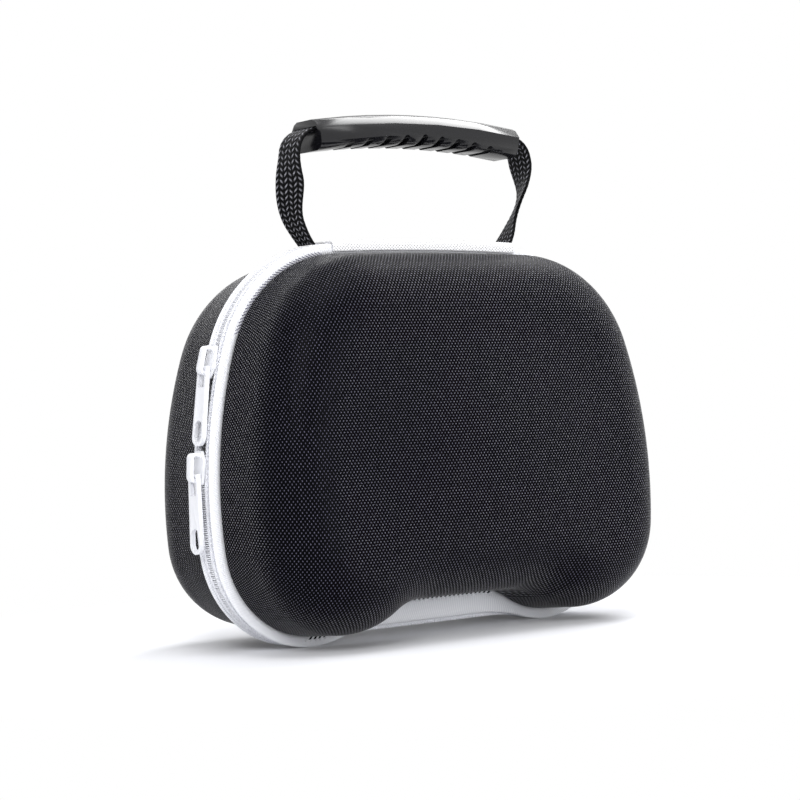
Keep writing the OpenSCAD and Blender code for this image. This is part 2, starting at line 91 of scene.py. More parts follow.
def staggered(tree, u, v, pitchU, pitchV):
    # raised dots in offset rows, pitches in millimetres: the product of two cosines where positive
    product = addNode(tree, "ShaderNodeMath", {"operation": "MULTIPLY"},
                      {0: wave(tree, u, pitchU), 1: wave(tree, v, pitchV)})
    return addNode(tree, "ShaderNodeMath", {"operation": "MAXIMUM", 1: 0.0}, {0: product})


def clothAxes(tree):
    # the piece's own cloth map, in metres along and across the weave
    source = addNode(tree, "ShaderNodeUVMap", {"uv_map": "cloth"})
    split = addNode(tree, "ShaderNodeSeparateXYZ", {}, {0: source})
    return (split, 0), (split, 1)


def fineNoise(tree, size, detail=2.0):
    # soft noise fixed to the piece. Its cells are size millimetres wide, which is coarser than the
    # real fibre or grain where that would be too fine to show.
    place = addNode(tree, "ShaderNodeTexCoord")
    return addNode(tree, "ShaderNodeTexNoise", {"Scale": 1 / (size * mm), "Detail": detail},
                   {"Vector": (place, "Object")})


def dress(tree, surface, factor, low, high, height=None, relief=0.0002, strength=0.6):
    # the colour runs from low to high with factor, and height raises the surface by relief metres
    colour = addNode(tree, "ShaderNodeMix", {"data_type": "RGBA", 6: linear(low), 7: linear(high)},
                     {0: factor})
    tree.links.new(colour.outputs[2], surface.inputs["Base Color"])
    if height is not None:
        bump = addNode(tree, "ShaderNodeBump", {"Strength": strength, "Distance": relief},
                       {"Height": height})
        tree.links.new(bump.outputs[0], surface.inputs["Normal"])


def gridPart(points, uvs=None, closeU=False, closeV=False, caps=False):
    # quads between neighbouring points of a (rows, columns, 3) grid. closeU or closeV joins the
    # last row or column to the first, and uvs then has one more. caps closes both ends of a band
    # whose section runs over its top and back underneath.
    rows, columns = points.shape[:2]
    ii, jj = np.meshgrid(np.arange(rows if closeU else rows - 1),
                         np.arange(columns if closeV else columns - 1), indexing="ij")
    corners = [(ii, jj), (ii, jj + 1), (ii + 1, jj + 1), (ii + 1, jj)]
    quads = np.stack([(i % rows) * columns + j % columns for i, j in corners], -1).reshape(-1, 4)
    if uvs is None:
        uvs = np.zeros((rows + 1, columns + 1, 2))
    cloth = np.stack([uvs[i, j] for i, j in corners], 2).reshape(-1, 4, 2)
    if caps:
        j = np.arange(columns // 2 - 1)
        loop = np.stack([j, columns - 1 - j, columns - 2 - j, j + 1], -1)
        for row, order in ((0, loop), (rows - 1, loop[:, ::-1])):
            quads = np.concatenate([quads, row * columns + order])
            cloth = np.concatenate([cloth, uvs[row][order]])
    return points.reshape(-1, 3), quads, cloth


def surfaceMesh(parts, weld=True, heights=None):
    # one mesh from closed parts. A part whose volume, the sum of its quads' cones to the origin, is
    # negative is inside out, so its quads are turned. Points that meet at poles and seams are welded.
    vertices, faces, cloths, offset = [], [], [], 0
    for points, quads, cloth in parts:
        a, b, c, d = (points[quads[:, k]] for k in range(4))
        volume = (a * (np.cross(b, c) + np.cross(c, d))).sum()
        if volume < 0:
            quads, cloth = quads[:, ::-1], cloth[:, ::-1]
        vertices.append(points)
        faces.append(quads + offset)
        cloths.append(cloth)
        offset += len(points)
    mesh = bpy.data.meshes.new("piece")
    mesh.from_pydata(np.concatenate(vertices).tolist(), [], np.concatenate(faces).tolist())
    flat = np.concatenate(cloths).astype(np.float32).ravel()
    mesh.uv_layers.new(name="cloth").data.foreach_set("uv", flat)
    if heights is not None:
        mesh.attributes.new("relief", "FLOAT", "POINT").data.foreach_set("value", heights.ravel())
    if weld:
        shape = bmesh.new()
        shape.from_mesh(mesh)
        bmesh.ops.remove_doubles(shape, verts=shape.verts, dist=1e-7)
        shape.to_mesh(mesh)
        shape.free()
    mesh.polygons.foreach_set("use_smooth", np.ones(len(mesh.polygons), bool))
    mesh.update()
    return mesh


def newPiece(name, mesh, body, material, replaces=()):
    # the mesh as a piece that rides a body, with its material slot and the nodes it stands for
    mesh.name = name
    piece = bpy.data.objects.new(name, mesh)
    bpy.context.scene.collection.objects.link(piece)
    if material is not None:
        mesh.materials.clear()
        mesh.materials.append(material)
    if body:
        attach(piece, body)
    if replaces:
        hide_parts(*replaces)
    return piece


def copiesPart(points, quads, places):
    # one small closed shape at many places: places is (n, 4, 4), applied to all points at once
    count = len(points)
    flat = np.concatenate([points, np.ones((count, 1))], 1)
    moved = np.einsum("nij,pj->npi", places, flat)[..., :3].reshape(-1, 3)
    faces = (quads[None] + np.arange(len(places))[:, None, None] * count).reshape(-1, 4)
    return moved, faces, np.zeros((len(faces), 4, 2))


def roundedRod(length, radius, sides=8, rings=6, flat=1.0):
    # a capsule along Y: the rings' radius follows the cosine over both ends, and flat is its
    # height in Z over its width in X. The ends are closed by quads.
    a = np.linspace(-math.pi / 2, math.pi / 2, rings)
    y = np.sin(a) * radius + np.sign(a) * (length / 2 - radius)
    r = np.maximum(np.cos(a), 0.3) * radius
    t = (np.arange(sides) + 0.5) * 2 * math.pi / sides
    points = np.stack([r[:, None] * np.cos(t), np.broadcast_to(y[:, None], (rings, sides)),
                       r[:, None] * np.sin(t) * flat], -1)
    return gridPart(points, closeV=True, caps=True)[:2]


def heading(a, b):
    # the direction from a to b in degrees
    return math.degrees(math.atan2(b[1] - a[1], b[0] - a[0]))


def arcPoints(centre, radius, start, end, count):
    # count points on an arc between two angles in degrees, without the first
    a = np.radians(start + (end - start) * np.arange(1, count + 1) / count)
    return np.stack([centre[0] + radius * np.cos(a), centre[1] + radius * np.sin(a)], -1)


def runLength(points, closed=False):
    # distance along a line at each point, with the full length added at the end if it is closed
    after = np.roll(points, -1, 0) - points if closed else np.diff(points, axis=0)
    return np.concatenate([[0], np.cumsum(np.linalg.norm(after, axis=1))])


def evenly(points, count):
    # the same open line with count points at equal distances
    run = runLength(points)
    at = np.linspace(0, run[-1], count)
    return np.stack([np.interp(at, run, points[:, k]) for k in range(points.shape[1])], -1)


def leftOf(ahead):
    # unit vectors a quarter turn to the left of flat directions (n, 2)
    along = ahead / np.linalg.norm(ahead, axis=1)[:, None]
    return np.stack([-along[:, 1], along[:, 0]], -1)


def lifted(flat, y=0.0):
    # [x, z] pairs as [x, y, z], with one y for all or one for each
    return np.stack([flat[:, 0], y * np.ones(len(flat)), flat[:, 1]], -1)


# camera: place in millimetres, angles in degrees, and the sensor in Blender's own millimetres
cameraSet = {"place": (-463.4, -599.9, 79.6), "azimuth": 37.3, "elevation": 0.0, "roll": -2.56,
             "focalPixels": 2206.2, "framePixels": 800, "sensor": 36, "clipStart": 0.01}


def makeCamera(s):
    # the camera's back direction comes from azimuth and elevation, and roll turns its picture
    az, el, roll = (math.radians(s[k]) for k in ("azimuth", "elevation", "roll"))
    back = np.array([-math.sin(az) * math.cos(el), -math.cos(az) * math.cos(el), math.sin(el)])
    right = np.cross(-back, [0, 0, 1])
    right /= np.linalg.norm(right)
    up = np.cross(back, right)
    c, n = math.cos(roll), math.sin(roll)
    matrix = np.eye(4)
    matrix[:3, 0] = right * c + up * n
    matrix[:3, 1] = -right * n + up * c
    matrix[:3, 2] = back
    matrix[:3, 3] = np.array(s["place"]) * mm
    camera = bpy.data.objects.new("photoCamera", bpy.data.cameras.new("photoCamera"))
    camera.data.sensor_width = s["sensor"]
    camera.data.lens = s["focalPixels"] / s["framePixels"] * s["sensor"]
    camera.data.clip_start = s["clipStart"]
    camera.matrix_world = Matrix(matrix.tolist())
    bpy.context.scene.collection.objects.link(camera)
    bpy.context.scene.camera = camera


makeCamera(cameraSet)

# each lamp: place in metres, aim, size in metres, watts
lightSet = {"topBack": ((0.66, 0.20, 0.98), (0.02, 0, 0.13), 0.62, 9.5),
            "overhead": ((-0.15, -0.30, 1.15), (0, 0, 0.12), 0.6, 6.0),
            "keyLeft": ((-0.85, -0.95, 0.80), (0, 0, 0.08), 0.6, 10.5),
            "lowFront": ((0.15, -1.1, 0.16), (0, 0, 0.03), 0.6, 5.5),
            "backFill": ((0.2, 1.1, 0.7), (0, 0, 0.10), 0.8, 3.0)}
studioSet = {"skyStrength": 0.45, "floorLift": 0.04, "fadeFrom": 0.09, "fadeTo": 0.21, "half": 3.0}


def makeLights(lights):
    for name, (place, aim, size, watts) in lights.items():
        data = bpy.data.lights.new(name, "AREA")
        data.size, data.energy = size, watts
        lamp = bpy.data.objects.new(name, data)
        turn = (Vector(aim) - Vector(place)).to_track_quat("-Z", "Y").to_matrix().to_4x4()
        lamp.matrix_world = Matrix.Translation(place) @ turn
        bpy.context.scene.collection.objects.link(lamp)


def seenRays(tree):
    # 1 for rays from the camera or a mirror-like surface, which see the white studio
    rays = addNode(tree, "ShaderNodeLightPath")
    return addNode(tree, "ShaderNodeMath", {"operation": "MAXIMUM"},
                   {0: (rays, "Is Camera Ray"), 1: (rays, "Is Glossy Ray")})


def makeWorld(s):
    world = bpy.data.worlds.new("studio")
    world.use_nodes = True
    tree = world.node_tree
    tree.nodes.clear()
    plain = addNode(tree, "ShaderNodeBackground", {"Color": (1, 1, 1, 1), "Strength": s["skyStrength"]})
    white = addNode(tree, "ShaderNodeBackground", {"Color": (1, 1, 1, 1), "Strength": 1.0})
    both = addNode(tree, "ShaderNodeMixShader", {}, {0: seenRays(tree), 1: plain, 2: white})
    addNode(tree, "ShaderNodeOutputWorld", {}, {"Surface": both})
    bpy.context.scene.world = world


def makeFloor(s):
    # matt white paper that keeps the shadow near the object and turns plain white further out
    half = s["half"]
    material, tree, surface = newMaterial("matt white paper", "#e9eaee", 0.9)
    place = addNode(tree, "ShaderNodeTexCoord")
    distance = addNode(tree, "ShaderNodeVectorMath", {"operation": "LENGTH"}, {0: (place, "Object")})
    fade = addNode(tree, "ShaderNodeMapRange",
                   {"interpolation_type": "SMOOTHSTEP", 1: s["fadeFrom"], 2: s["fadeTo"]},
                   {0: (distance, 1)})
    seen = seenRays(tree)
    lift = addNode(tree, "ShaderNodeMath", {"operation": "MULTIPLY", 1: s["floorLift"]}, {0: seen})
    glow = addNode(tree, "ShaderNodeEmission", {"Color": (1, 1, 1, 1)}, {"Strength": lift})
    near = addNode(tree, "ShaderNodeAddShader", {}, {0: surface, 1: glow})
    white = addNode(tree, "ShaderNodeEmission", {"Color": (1, 1, 1, 1), "Strength": 1.0})
    far = addNode(tree, "ShaderNodeMath", {"operation": "MULTIPLY"}, {0: seen, 1: fade})
    both = addNode(tree, "ShaderNodeMixShader", {}, {0: far, 1: near, 2: white})
    tree.links.new(both.outputs[0], tree.nodes["Material Output"].inputs["Surface"])
    mesh = bpy.data.meshes.new("studioFloor")
    mesh.from_pydata([(-half, -half, 0), (half, -half, 0), (half, half, 0), (-half, half, 0)], [],
                     [(0, 1, 2, 3)])
    mesh.materials.append(material)
    floor = bpy.data.objects.new("studioFloor", mesh)
    bpy.context.scene.collection.objects.link(floor)


makeLights(lightSet)
makeWorld(studioSet)
makeFloor(studioSet)
bpy.context.scene.view_settings.view_transform = "Standard"
print("camera, lights and floor made")


# the seam's outline: sizes in millimetres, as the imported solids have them
outlineSet = {"width": 168, "height": 126, "waist": 47, "crownR": 1080, "cornerR": 44,
              "sideR": 153, "lobeR": 33, "notchH": 9, "notchR": 24, "bandOut": 3.6,
              "bandNotchH": 4.5, "bandNotchR": 60, "chainOut": 3.5, "chainNotchH": 2.8}
pointCounts = {"crown": 30, "corner": 36, "side": 44, "lobe": 60, "notch": 26, "flat": 12}


def outlineArcs(s):
    # the centres of the four arcs of the right half, each tangent to the next
    base = s["bandOut"]
    crown = np.array([0, base + s["height"] - s["crownR"]])
    side = np.array([s["width"] / 2 - s["sideR"], base + s["waist"]])
    drop = s["waist"] - s["lobeR"]
    lobe = side + [math.sqrt((s["sideR"] - s["lobeR"]) ** 2 - drop ** 2), -drop]
    step = side - crown
    gap = np.linalg.norm(step)
    toCrown, toSide = s["crownR"] - s["cornerR"], s["sideR"] - s["cornerR"]
    along = (toCrown ** 2 - toSide ** 2 + gap ** 2) / (2 * gap)
    across = math.sqrt(toCrown ** 2 - along ** 2)
    corner = crown + (step * along + np.array([step[1], -step[0]]) * across) / gap
    return crown, corner, side, lobe


crownC, cornerC, sideC, lobeC = outlineArcs(outlineSet)
crownEnd, cornerEnd, sideEnd = heading(crownC, cornerC), heading(sideC, cornerC), heading(sideC, lobeC)
# heights of the shells' foot and of the band's top
baseZ = outlineSet["bandOut"]
crownZ = crownC[1] + outlineSet["crownR"] + outlineSet["bandOut"]


def ring(off, top, filletR):
    # closed outline (n, 2) that stands off the shells by off, from the crown's middle round by the
    # right side: four tangent arcs, the fillet into the notch at height top, then mirrored
    s, n = outlineSet, pointCounts
    reach = s["lobeR"] + off + filletR
    drop = lobeC[1] - top + filletR
    fillet = np.array([lobeC[0] - math.sqrt(reach ** 2 - drop ** 2), top - filletR])
    half = np.concatenate([
        [[0, crownC[1] + s["crownR"] + off]],
        arcPoints(crownC, s["crownR"] + off, 90, crownEnd, n["crown"]),
        arcPoints(cornerC, s["cornerR"] + off, crownEnd, cornerEnd, n["corner"]),
        arcPoints(sideC, s["sideR"] + off, cornerEnd, sideEnd, n["side"]),
        arcPoints(lobeC, s["lobeR"] + off, sideEnd, heading(lobeC, fillet), n["lobe"]),
        arcPoints(fillet, filletR, heading(fillet, lobeC), 90, n["notch"]),
        np.stack([fillet[0] * (1 - np.arange(1, n["flat"] + 1) / n["flat"]),
                  np.full(n["flat"], top)], -1)])
    return np.concatenate([half, half[-2:0:-1] * [-1, 1]])


def shellRing(inset):
    s = outlineSet
    return ring(-inset, baseZ + s["notchH"] + inset, s["notchR"] + inset)


def chainRing(inset):
    s = outlineSet
    return ring(s["chainOut"] - inset, s["chainNotchH"] + inset, s["bandNotchR"] + inset)


bandRing = ring(outlineSet["bandOut"], outlineSet["bandNotchH"], outlineSet["bandNotchR"])


def sectionRings(section, outline):
    # for (inset, depth) corners of a section: the outline at each inset, and each depth along it
    rings = np.array([outline(inset) for inset, _ in section])
    return rings, np.array([[depth] for _, depth in section]) * np.ones(rings.shape[1])


def carriedPart(rings, y, side):
    # a closed section carried round the outline by rings (m, n, 2) and y (m, n); side is 1 for the
    # base, -1 for the lid. Its cloth map is the run and the section's length.
    points = np.stack([rings[..., 0], y * side, rings[..., 1]], -1) * mm
    run = runLength(rings[0], closed=True) * mm
    turn = runLength(points[:, 0], closed=True)
    cloth = np.stack(np.broadcast_arrays(run[None], turn[:, None]), -1)
    return gridPart(points, cloth, closeU=True, closeV=True)


def bandPart(line, across, out, width, thick, relief=None, columns=30):
    # a flat band along a line (n, 3): its section is a rounded plate, half the thickness times
    # (1 - |s|^8)^(1/8) where s runs over the width from -1 to 1, top and back underneath. relief
    # (n, columns) is added on both sides.
    s = np.linspace(-1, 1, columns)
    high = thick / 2 * np.maximum(1 - np.abs(s) ** 8, 0) ** 0.125 * np.ones((len(line), 1))
    if relief is not None:
        high = high + relief * (1 - np.abs(s) ** 8)
    wide = (np.ones(len(line)) * width)[:, None] / 2 * s
    side = line[:, None] + across[:, None] * wide[..., None]
    top = side + out[:, None] * high[..., None]
    under = side - out[:, None] * high[..., None]
    points = np.concatenate([top, under[:, ::-1]], 1) * mm
    run = runLength(line)[:, None]
    over = np.concatenate([wide, wide[:, ::-1], wide[:, :1]], 1)
    cloth = np.stack(np.broadcast_arrays(run, over), -1) * mm
    return gridPart(points, cloth, closeV=True, caps=True)


# half shells of moulded foam laminate
shellSet = {"rimY": 3.3, "straightY": 6.7, "wall": 3.5, "faceR": 20.5, "draft": 4.8, "bulge": 2.0,
            "bulgeHalf": (60.0, 40.0), "hollowDraw": 0.6, "hollowEase": 27, "flare": 0.2,
            "baseDepth": 45.5, "lidDepth": 39.0, "weaveU": 1.3, "weaveV": 1.8}
# rows of points on each stretch of the shells' section
rowCounts = {"face": 29, "rounding": 22, "wall": 8, "insideRounding": 12}


def flared(outline, y):
    # behind the straight rim the depth grows towards the foot
    growth = 1 + shellSet["flare"] * (0.5 - (outline[:, 1] - baseZ) / outlineSet["height"])
    behind = np.maximum(y - shellSet["straightY"], 0) * np.ones(len(outline))
    return lifted(outline, y + behind * (growth - 1))


def shellRows(depth):
    # from the middle of the face over the rounding, a quarter circle, and down the drafted wall to
    # the rim, then inside and back to the middle. The face rises by the square of 1 - r^2, where r is
    # the distance from the middle over an ellipse's. The cloth map is the face's own plane, rolled
    # out over the rounding so that the weave keeps its size. Down the wall it is drawn together in
    # the two hollow corners of the notch, where it would fold over itself.
    s = shellSet
    wallEnd = depth - s["faceR"]
    wallInset = (wallEnd - s["straightY"]) * math.tan(math.radians(s["draft"]))
    middle = np.array([0, baseZ + (outlineSet["notchH"] + outlineSet["height"]) / 2])
    face = shellRing(wallInset + s["faceR"])
    outwards = shellRing(wallInset + s["faceR"] - 1) - face
    outwards /= np.linalg.norm(outwards, axis=1)[:, None]
    n, count = pointCounts, len(face)
    first = n["crown"] + n["corner"] + n["side"] + n["lobe"]
    hollow = np.zeros(count)
    hollow[first:first + n["notch"]] = 1
    hollow[count - first - n["notch"]:count - first] = 1
    ease = np.hanning(s["hollowEase"])
    hollow = np.convolve(hollow, ease / ease.sum(), "same")
    drawn = outwards * (1 - s["hollowDraw"] * hollow[:, None])
    reach = math.pi / 2 * s["faceR"]
    rows, cloth = [], []
    for t in np.linspace(1, 0, rowCounts["face"] + 1)[:-1] ** 1.15:
        flat = face + (middle - face) * t
        far = (((flat - middle) / s["bulgeHalf"]) ** 2).sum(1)
        rows.append(flared(flat, depth + s["bulge"] * np.maximum(1 - far, 0) ** 2))
        cloth.append(flat)
    for a in np.radians(np.linspace(90, 0, rowCounts["rounding"])):
        edge = shellRing(wallInset + s["faceR"] * (1 - math.cos(a)))
        rows.append(flared(edge, wallEnd + s["faceR"] * math.sin(a)))
        cloth.append(face + outwards * (math.pi / 2 - a) * s["faceR"])
    for t in np.linspace(0, 1, rowCounts["wall"] + 1)[1:]:
        y = wallEnd + (s["straightY"] - wallEnd) * t
        rows.append(flared(shellRing(wallInset * (1 - t)), y))
        cloth.append(face + outwards * reach + drawn * (wallEnd - y))
    rows.append(flared(shellRing(0), s["rimY"]))
    cloth.append(face + outwards * reach + drawn * (wallEnd - s["rimY"]))
    outerRows = len(rows)
    for y in (s["rimY"], s["straightY"]):
        rows.append(flared(shellRing(s["wall"]), y))
        cloth.append(face + outwards * (reach + wallEnd - y))
    innerR = s["faceR"] - s["wall"]
    for a in np.radians(np.linspace(0, 90, rowCounts["insideRounding"])):
        edge = shellRing(s["wall"] + wallInset + innerR * (1 - math.cos(a)))
        rows.append(flared(edge, wallEnd + innerR * math.sin(a)))
        cloth.append(face + outwards * (math.pi / 2 - a) * innerR)
    for t in (0.4, 0.8, 1.0):
        flat = face + (middle - face) * t
        rows.append(flared(flat, depth - s["wall"]))
        cloth.append(flat)
    return np.array(rows), np.array(cloth), outerRows


def makeShell(name, node, body, depth, side, outside, lining):
    points, cloth, outerRows = shellRows(depth)
    cloth = np.concatenate([cloth, cloth[:, :1]], 1) * mm
    mesh = surfaceMesh([gridPart(points * [1, side, 1] * mm, cloth, closeV=True)])
    mesh.materials.append(outside)
    mesh.materials.append(lining)
    slots = np.repeat(np.arange(len(points) - 1) >= outerRows - 1, points.shape[1]).astype(np.int32)
    mesh.polygons.foreach_set("material_index", slots)
    newPiece(name, mesh, body, None, [node])


def ballisticNylon():
    # basket-woven: every crossing is a raised dot over near-black gaps, its crown painted lighter as a
    # painted highlight for the yarn's sheen
    material, tree, surface = newMaterial("ballistic nylon, basket weave", "#101016", 0.36,
                                          specular=0.025, sheen=(0.3, 0.15))
    u, v = clothAxes(tree)
    dots = staggered(tree, u, v, shellSet["weaveU"], shellSet["weaveV"])
    # painted highlight: the dots' crowns are coloured light grey and the gaps near black, varied at
    # random by the noise below
    crown = addNode(tree, "ShaderNodeMath", {"operation": "POWER", 1: 2.8}, {0: dots})
    grain = addNode(tree, "ShaderNodeMath", {"operation": "MULTIPLY"},
                    {0: crown, 1: fineNoise(tree, 1.43)})
    dress(tree, surface, grain, "#020204", "#7f7d93", dots, 0.0003, 1.0)
    return material


def liningFleece():
    # short-napped polyester lining: even, dull and a little lighter than the outside
    material, tree, surface = newMaterial("napped polyester lining", "#1f1f24", 0.9, sheen=(0.2, 0.6))
    nap = fineNoise(tree, 0.625, 3.0)
    dress(tree, surface, nap, "#17171b", "#2a2a30", nap, 0.0002, 0.5)
    return material


nylon = ballisticNylon()
fleece = liningFleece()
makeShell("backShell", "back_shell", "base", shellSet["baseDepth"], 1, nylon, fleece)
makeShell("frontShell", "front_shell", "lid", shellSet["lidDepth"], -1, nylon, fleece)
print("half shells made")

# padded bindings, the turned hem and stitches in the notch, the hem's dark band also painted shade
# between the stitches, and the thread ends at a top corner
bindingSet = {"rimY": 3.3, "width": 2.0, "rows": 22, "reachPower": 0.5, "widthPower": 0.9,
              "ribPitch": 0.8, "ribSlant": 0.6, "hemW": 2.0, "hemOut": 0.1, "hemT": 0.3}
# lean is in degrees, off is the rods' middle beyond the shell's edge, and span is the stitched
# stretch as fractions of the outline's run
stitchSet = {"NotchStitches": {"pitch": 1.9, "length": 2.8, "radius": 0.42, "lean": 42, "off": 0.7,
                               "span": (0.451, 0.606)},
             "CornerThreads": {"pitch": 1.3, "length": 2.6, "radius": 0.16, "lean": -52, "off": 0.5,
                               "span": (0.835, 0.922)}}


def makeBinding(name, node, body, side, material):
    # a rounded roll between the shell and the band's outer line: its reach follows a power of the
    # cosine of the section's angle, and its width a power of the sine
    s = bindingSet
    inner = shellRing(0)
    angle = np.radians(np.linspace(-90, 90, s["rows"]))
    reach = np.maximum(np.cos(angle), 0) ** s["reachPower"]
    across = np.sign(angle) * np.abs(np.sin(angle)) ** s["widthPower"]
    y = s["rimY"] + s["width"] * (0.5 + 0.5 * across)
    rings = inner[None] + (bandRing - inner)[None] * reach[:, None, None]
    part = carriedPart(rings, y[:, None] * np.ones(len(inner)), side)
    newPiece(name, surfaceMesh([part]), body, material, [node])


def framesAlong(line, at, step=0.2):
    # places along a closed [x, z] outline at the distances at: (points, outward unit vectors), the
    # direction taken from a step behind to a step ahead
    run = runLength(line, closed=True)
    loop = np.concatenate([line, line[:1]])
    back, points, ahead = (np.stack([np.interp(at + d, run, loop[:, k]) for k in (0, 1)], -1)
                           for d in (-step, 0, step))
    return points, leftOf(ahead - back)


def placesOn(points, y, xAxis, yAxis, zAxis):
    # matrices that put a small shape's own axes along the given ones, in metres
    places = np.zeros((len(points), 4, 4))
    places[:, :3, 0], places[:, :3, 1], places[:, :3, 2] = xAxis, yAxis, zAxis
    places[:, :3, 3] = lifted(points, y) * mm
    places[:, 3, 3] = 1
    return places


def makeStitches(name, kind, body, side, material):
    # overcast stitches where the binding meets the shell: small rods that lean from the outward
    # direction towards the run
    s = stitchSet[kind]
    edge = shellRing(-s["off"])
    start, end = np.array(s["span"]) * runLength(edge, closed=True)[-1]
    points, out = framesAlong(edge, np.arange(start, end, s["pitch"]))
    lean = math.radians(s["lean"])
    yAxis = lifted(out) * math.cos(lean) + lifted(out[:, ::-1] * [1, -1]) * math.sin(lean)
    zAxis = np.tile([0.0, side, 0.0], (len(out), 1))
    y = side * (bindingSet["rimY"] + bindingSet["width"])
    rod = roundedRod(s["length"] * mm, s["radius"] * mm, sides=6)
    part = copiesPart(*rod, placesOn(points, y, np.cross(yAxis, zAxis), yAxis, zAxis))
    newPiece(name + kind, surfaceMesh([part], weld=False), body, material)


def makeHemAndShade(name, body, side, material):
    # the shell's fabric turned down over the binding in the notch, a thin dark band under the stitches
    # that is also painted shade between them
    s = bindingSet
    edge = shellRing(-s["hemOut"])
    start, end = np.array(stitchSet["NotchStitches"]["span"]) * runLength(edge, closed=True)[-1]
    points, out = framesAlong(edge, np.linspace(start, end, 120))
    line = lifted(points, side * (s["rimY"] + s["width"]))
    facing = np.tile([0.0, 1.0, 0.0], (len(line), 1))
    part = bandPart(line, lifted(out), facing, s["hemW"], s["hemT"])
    newPiece(name, surfaceMesh([part]), body, material)


def knitBinding():
    # white warp-knit polyester over a soft core: fine slanted ribs, soft and dull
    material, tree, surface = newMaterial("white warp-knit polyester", "#e9eaee", 0.85,
                                          sheen=(0.15, 0.5))
    u, v = clothAxes(tree)
    slanted = addNode(tree, "ShaderNodeMath", {"operation": "MULTIPLY_ADD", 1: bindingSet["ribSlant"]},
                      {0: v, 2: u})
    ribs = wave(tree, slanted, bindingSet["ribPitch"])
    half = addNode(tree, "ShaderNodeMath", {"operation": "MULTIPLY_ADD", 1: 0.5, 2: 0.5}, {0: ribs})
    # painted shade: the ribs' grooves are coloured a little darker than their tops
    dress(tree, surface, half, "#e2e3e9", "#f3f4f7", half, 0.00015, 0.5)
    return material


def sewingThread():
    # bright white bonded polyester thread with a faint twist
    material, tree, surface = newMaterial("bonded polyester thread", "#f0f1f4", 0.5)
    twist = fineNoise(tree, 0.4)
    dress(tree, surface, twist, "#dfe0e6", "#f4f4f7", twist, 0.0001, 0.4)
    return material


knit = knitBinding()
thread = sewingThread()
for name, body, side in (("back", "base", 1), ("front", "lid", -1)):
    makeBinding(name + "Binding", name + "_binding", body, side, knit)
    makeHemAndShade(name + "TurnedHemAndShade", body, side, nylon)
    makeStitches(name, "NotchStitches", body, side, thread)
    makeStitches(name, "CornerThreads", body, side, nylon)
print("bindings and stitches made")

# zipper: woven tapes, and a moulded coil whose two rows mesh except between the sliders
zipperSet = {"ribY": 1.3, "ribW": 1.0, "chainT": 2.0, "tapeT": 0.8, "tapeSink": 0.2, "ease": 0.3,
             "fillet": 0.2, "rimY": 3.3, "pitch": 1.4, "firstTooth": 0.25, "toothHalf": 0.27,
             "toothHigh": 1.55, "toothIn": 0.55, "reach": 0.8, "root": 2.6, "partedFrom": 4.6,
             "partedTo": 15.3, "partedEase": 0.8, "partedReach": -1.25, "partedShift": 0.85,
             "tapeWeave": 0.9}
# the hinge strip's sizes stand here because the coil stops under it
stripSet = {"handleX": 3.0, "length": 78.0, "gap": 0.2, "thick": 0.8, "lap": 3.0, "bendR": 1.5,
            "across": 40, "along": 160, "weaveU": 1.3, "weaveV": 1.1}


def partedShare(points):
    # 1 on the left side between the two sliders, where the zipper is open, and 0 elsewhere. The
    # limits are degrees above the side arc's level.
    s = zipperSet
    angle = np.degrees(np.arctan2(points[:, 1] - sideC[1], -points[:, 0] - sideC[0]))
    inside = np.minimum(angle - s["partedFrom"], s["partedTo"] - angle)
    return np.where(points[:, 0] < 0, np.clip(inside / s["partedEase"], 0, 1), 0)


def makeTape(name, node, body, side, material):
    # the tape lies flat below the rib, and the rib's corners are eased. Between the sliders the
    # ribs stand further apart.
    s = zipperSet
    low = s["chainT"] + s["tapeSink"]
    near, far, high = s["ribY"], s["ribY"] + s["ribW"], low - s["tapeT"]
    ease, cut, fillet = s["ease"], 0.3 * s["ease"], s["fillet"]
    section = [(low, near), (ease, near), (cut, near + cut), (0, near + ease), (0, far - ease),
               (cut, far - cut), (ease, far), (high - fillet, far),
               (high - fillet / 4, far + fillet / 4), (high, far + fillet), (high, s["rimY"]),
               (low, s["rimY"])]
    rings, y = sectionRings(section, chainRing)
    y = y + (y < near + s["ribW"] / 2) * partedShare(rings[1]) * s["partedShift"]
    newPiece(name, surfaceMesh([carriedPart(rings, y, side)]), body, material, [node])


def makeTeeth(name, node, body, side, phase, material):
    # one rounded rod for each loop of the coil, across the seam. Between the sliders the rows stand
    # apart: the rods there stop before the middle.
    s, strip = zipperSet, stripSet
    line = chainRing(s["toothIn"])
    length = runLength(line, closed=True)[-1]
    count = round(length / s["pitch"])
    at = (np.arange(count) + s["firstTooth"] + phase) * length / count
    points, out = framesAlong(line, at)
    half = strip["length"] / 2 + s["pitch"]
    shown = (np.abs(points[:, 0] - strip["handleX"]) > half) | (points[:, 1] < sideC[1])
    points, out = points[shown], out[shown]
    reach = s["reach"] + (s["partedReach"] - s["reach"]) * partedShare(points)
    size = (s["root"] + reach) / (s["root"] + s["reach"])
    outward = lifted(out)
    yAxis = np.array([0, side, 0.0]) * size[:, None]
    xAxis = np.cross([0, side, 0.0], outward)
    places = placesOn(points, side * (s["root"] - reach) / 2, xAxis, yAxis, outward)
    rod = roundedRod((s["root"] + s["reach"]) * mm, s["toothHalf"] * mm, flat=s["toothHigh"])
    part = copiesPart(*rod, places)
    newPiece(name, surfaceMesh([part], weld=False), body, material, [node])


def wovenTape():
    # white polyester zipper tape: a fine close weave, pressed flat
    material, tree, surface = newMaterial("woven polyester tape", "#e2e3e8", 0.8, sheen=(0.1, 0.5))
    u, v = clothAxes(tree)
    dots = staggered(tree, u, v, zipperSet["tapeWeave"], zipperSet["tapeWeave"])
    # painted shade: the gaps between the weave's dots are coloured a little darker than the dots
    dress(tree, surface, dots, "#dcdde3", "#f2f3f6", dots, 0.0001, 0.5)
    return material


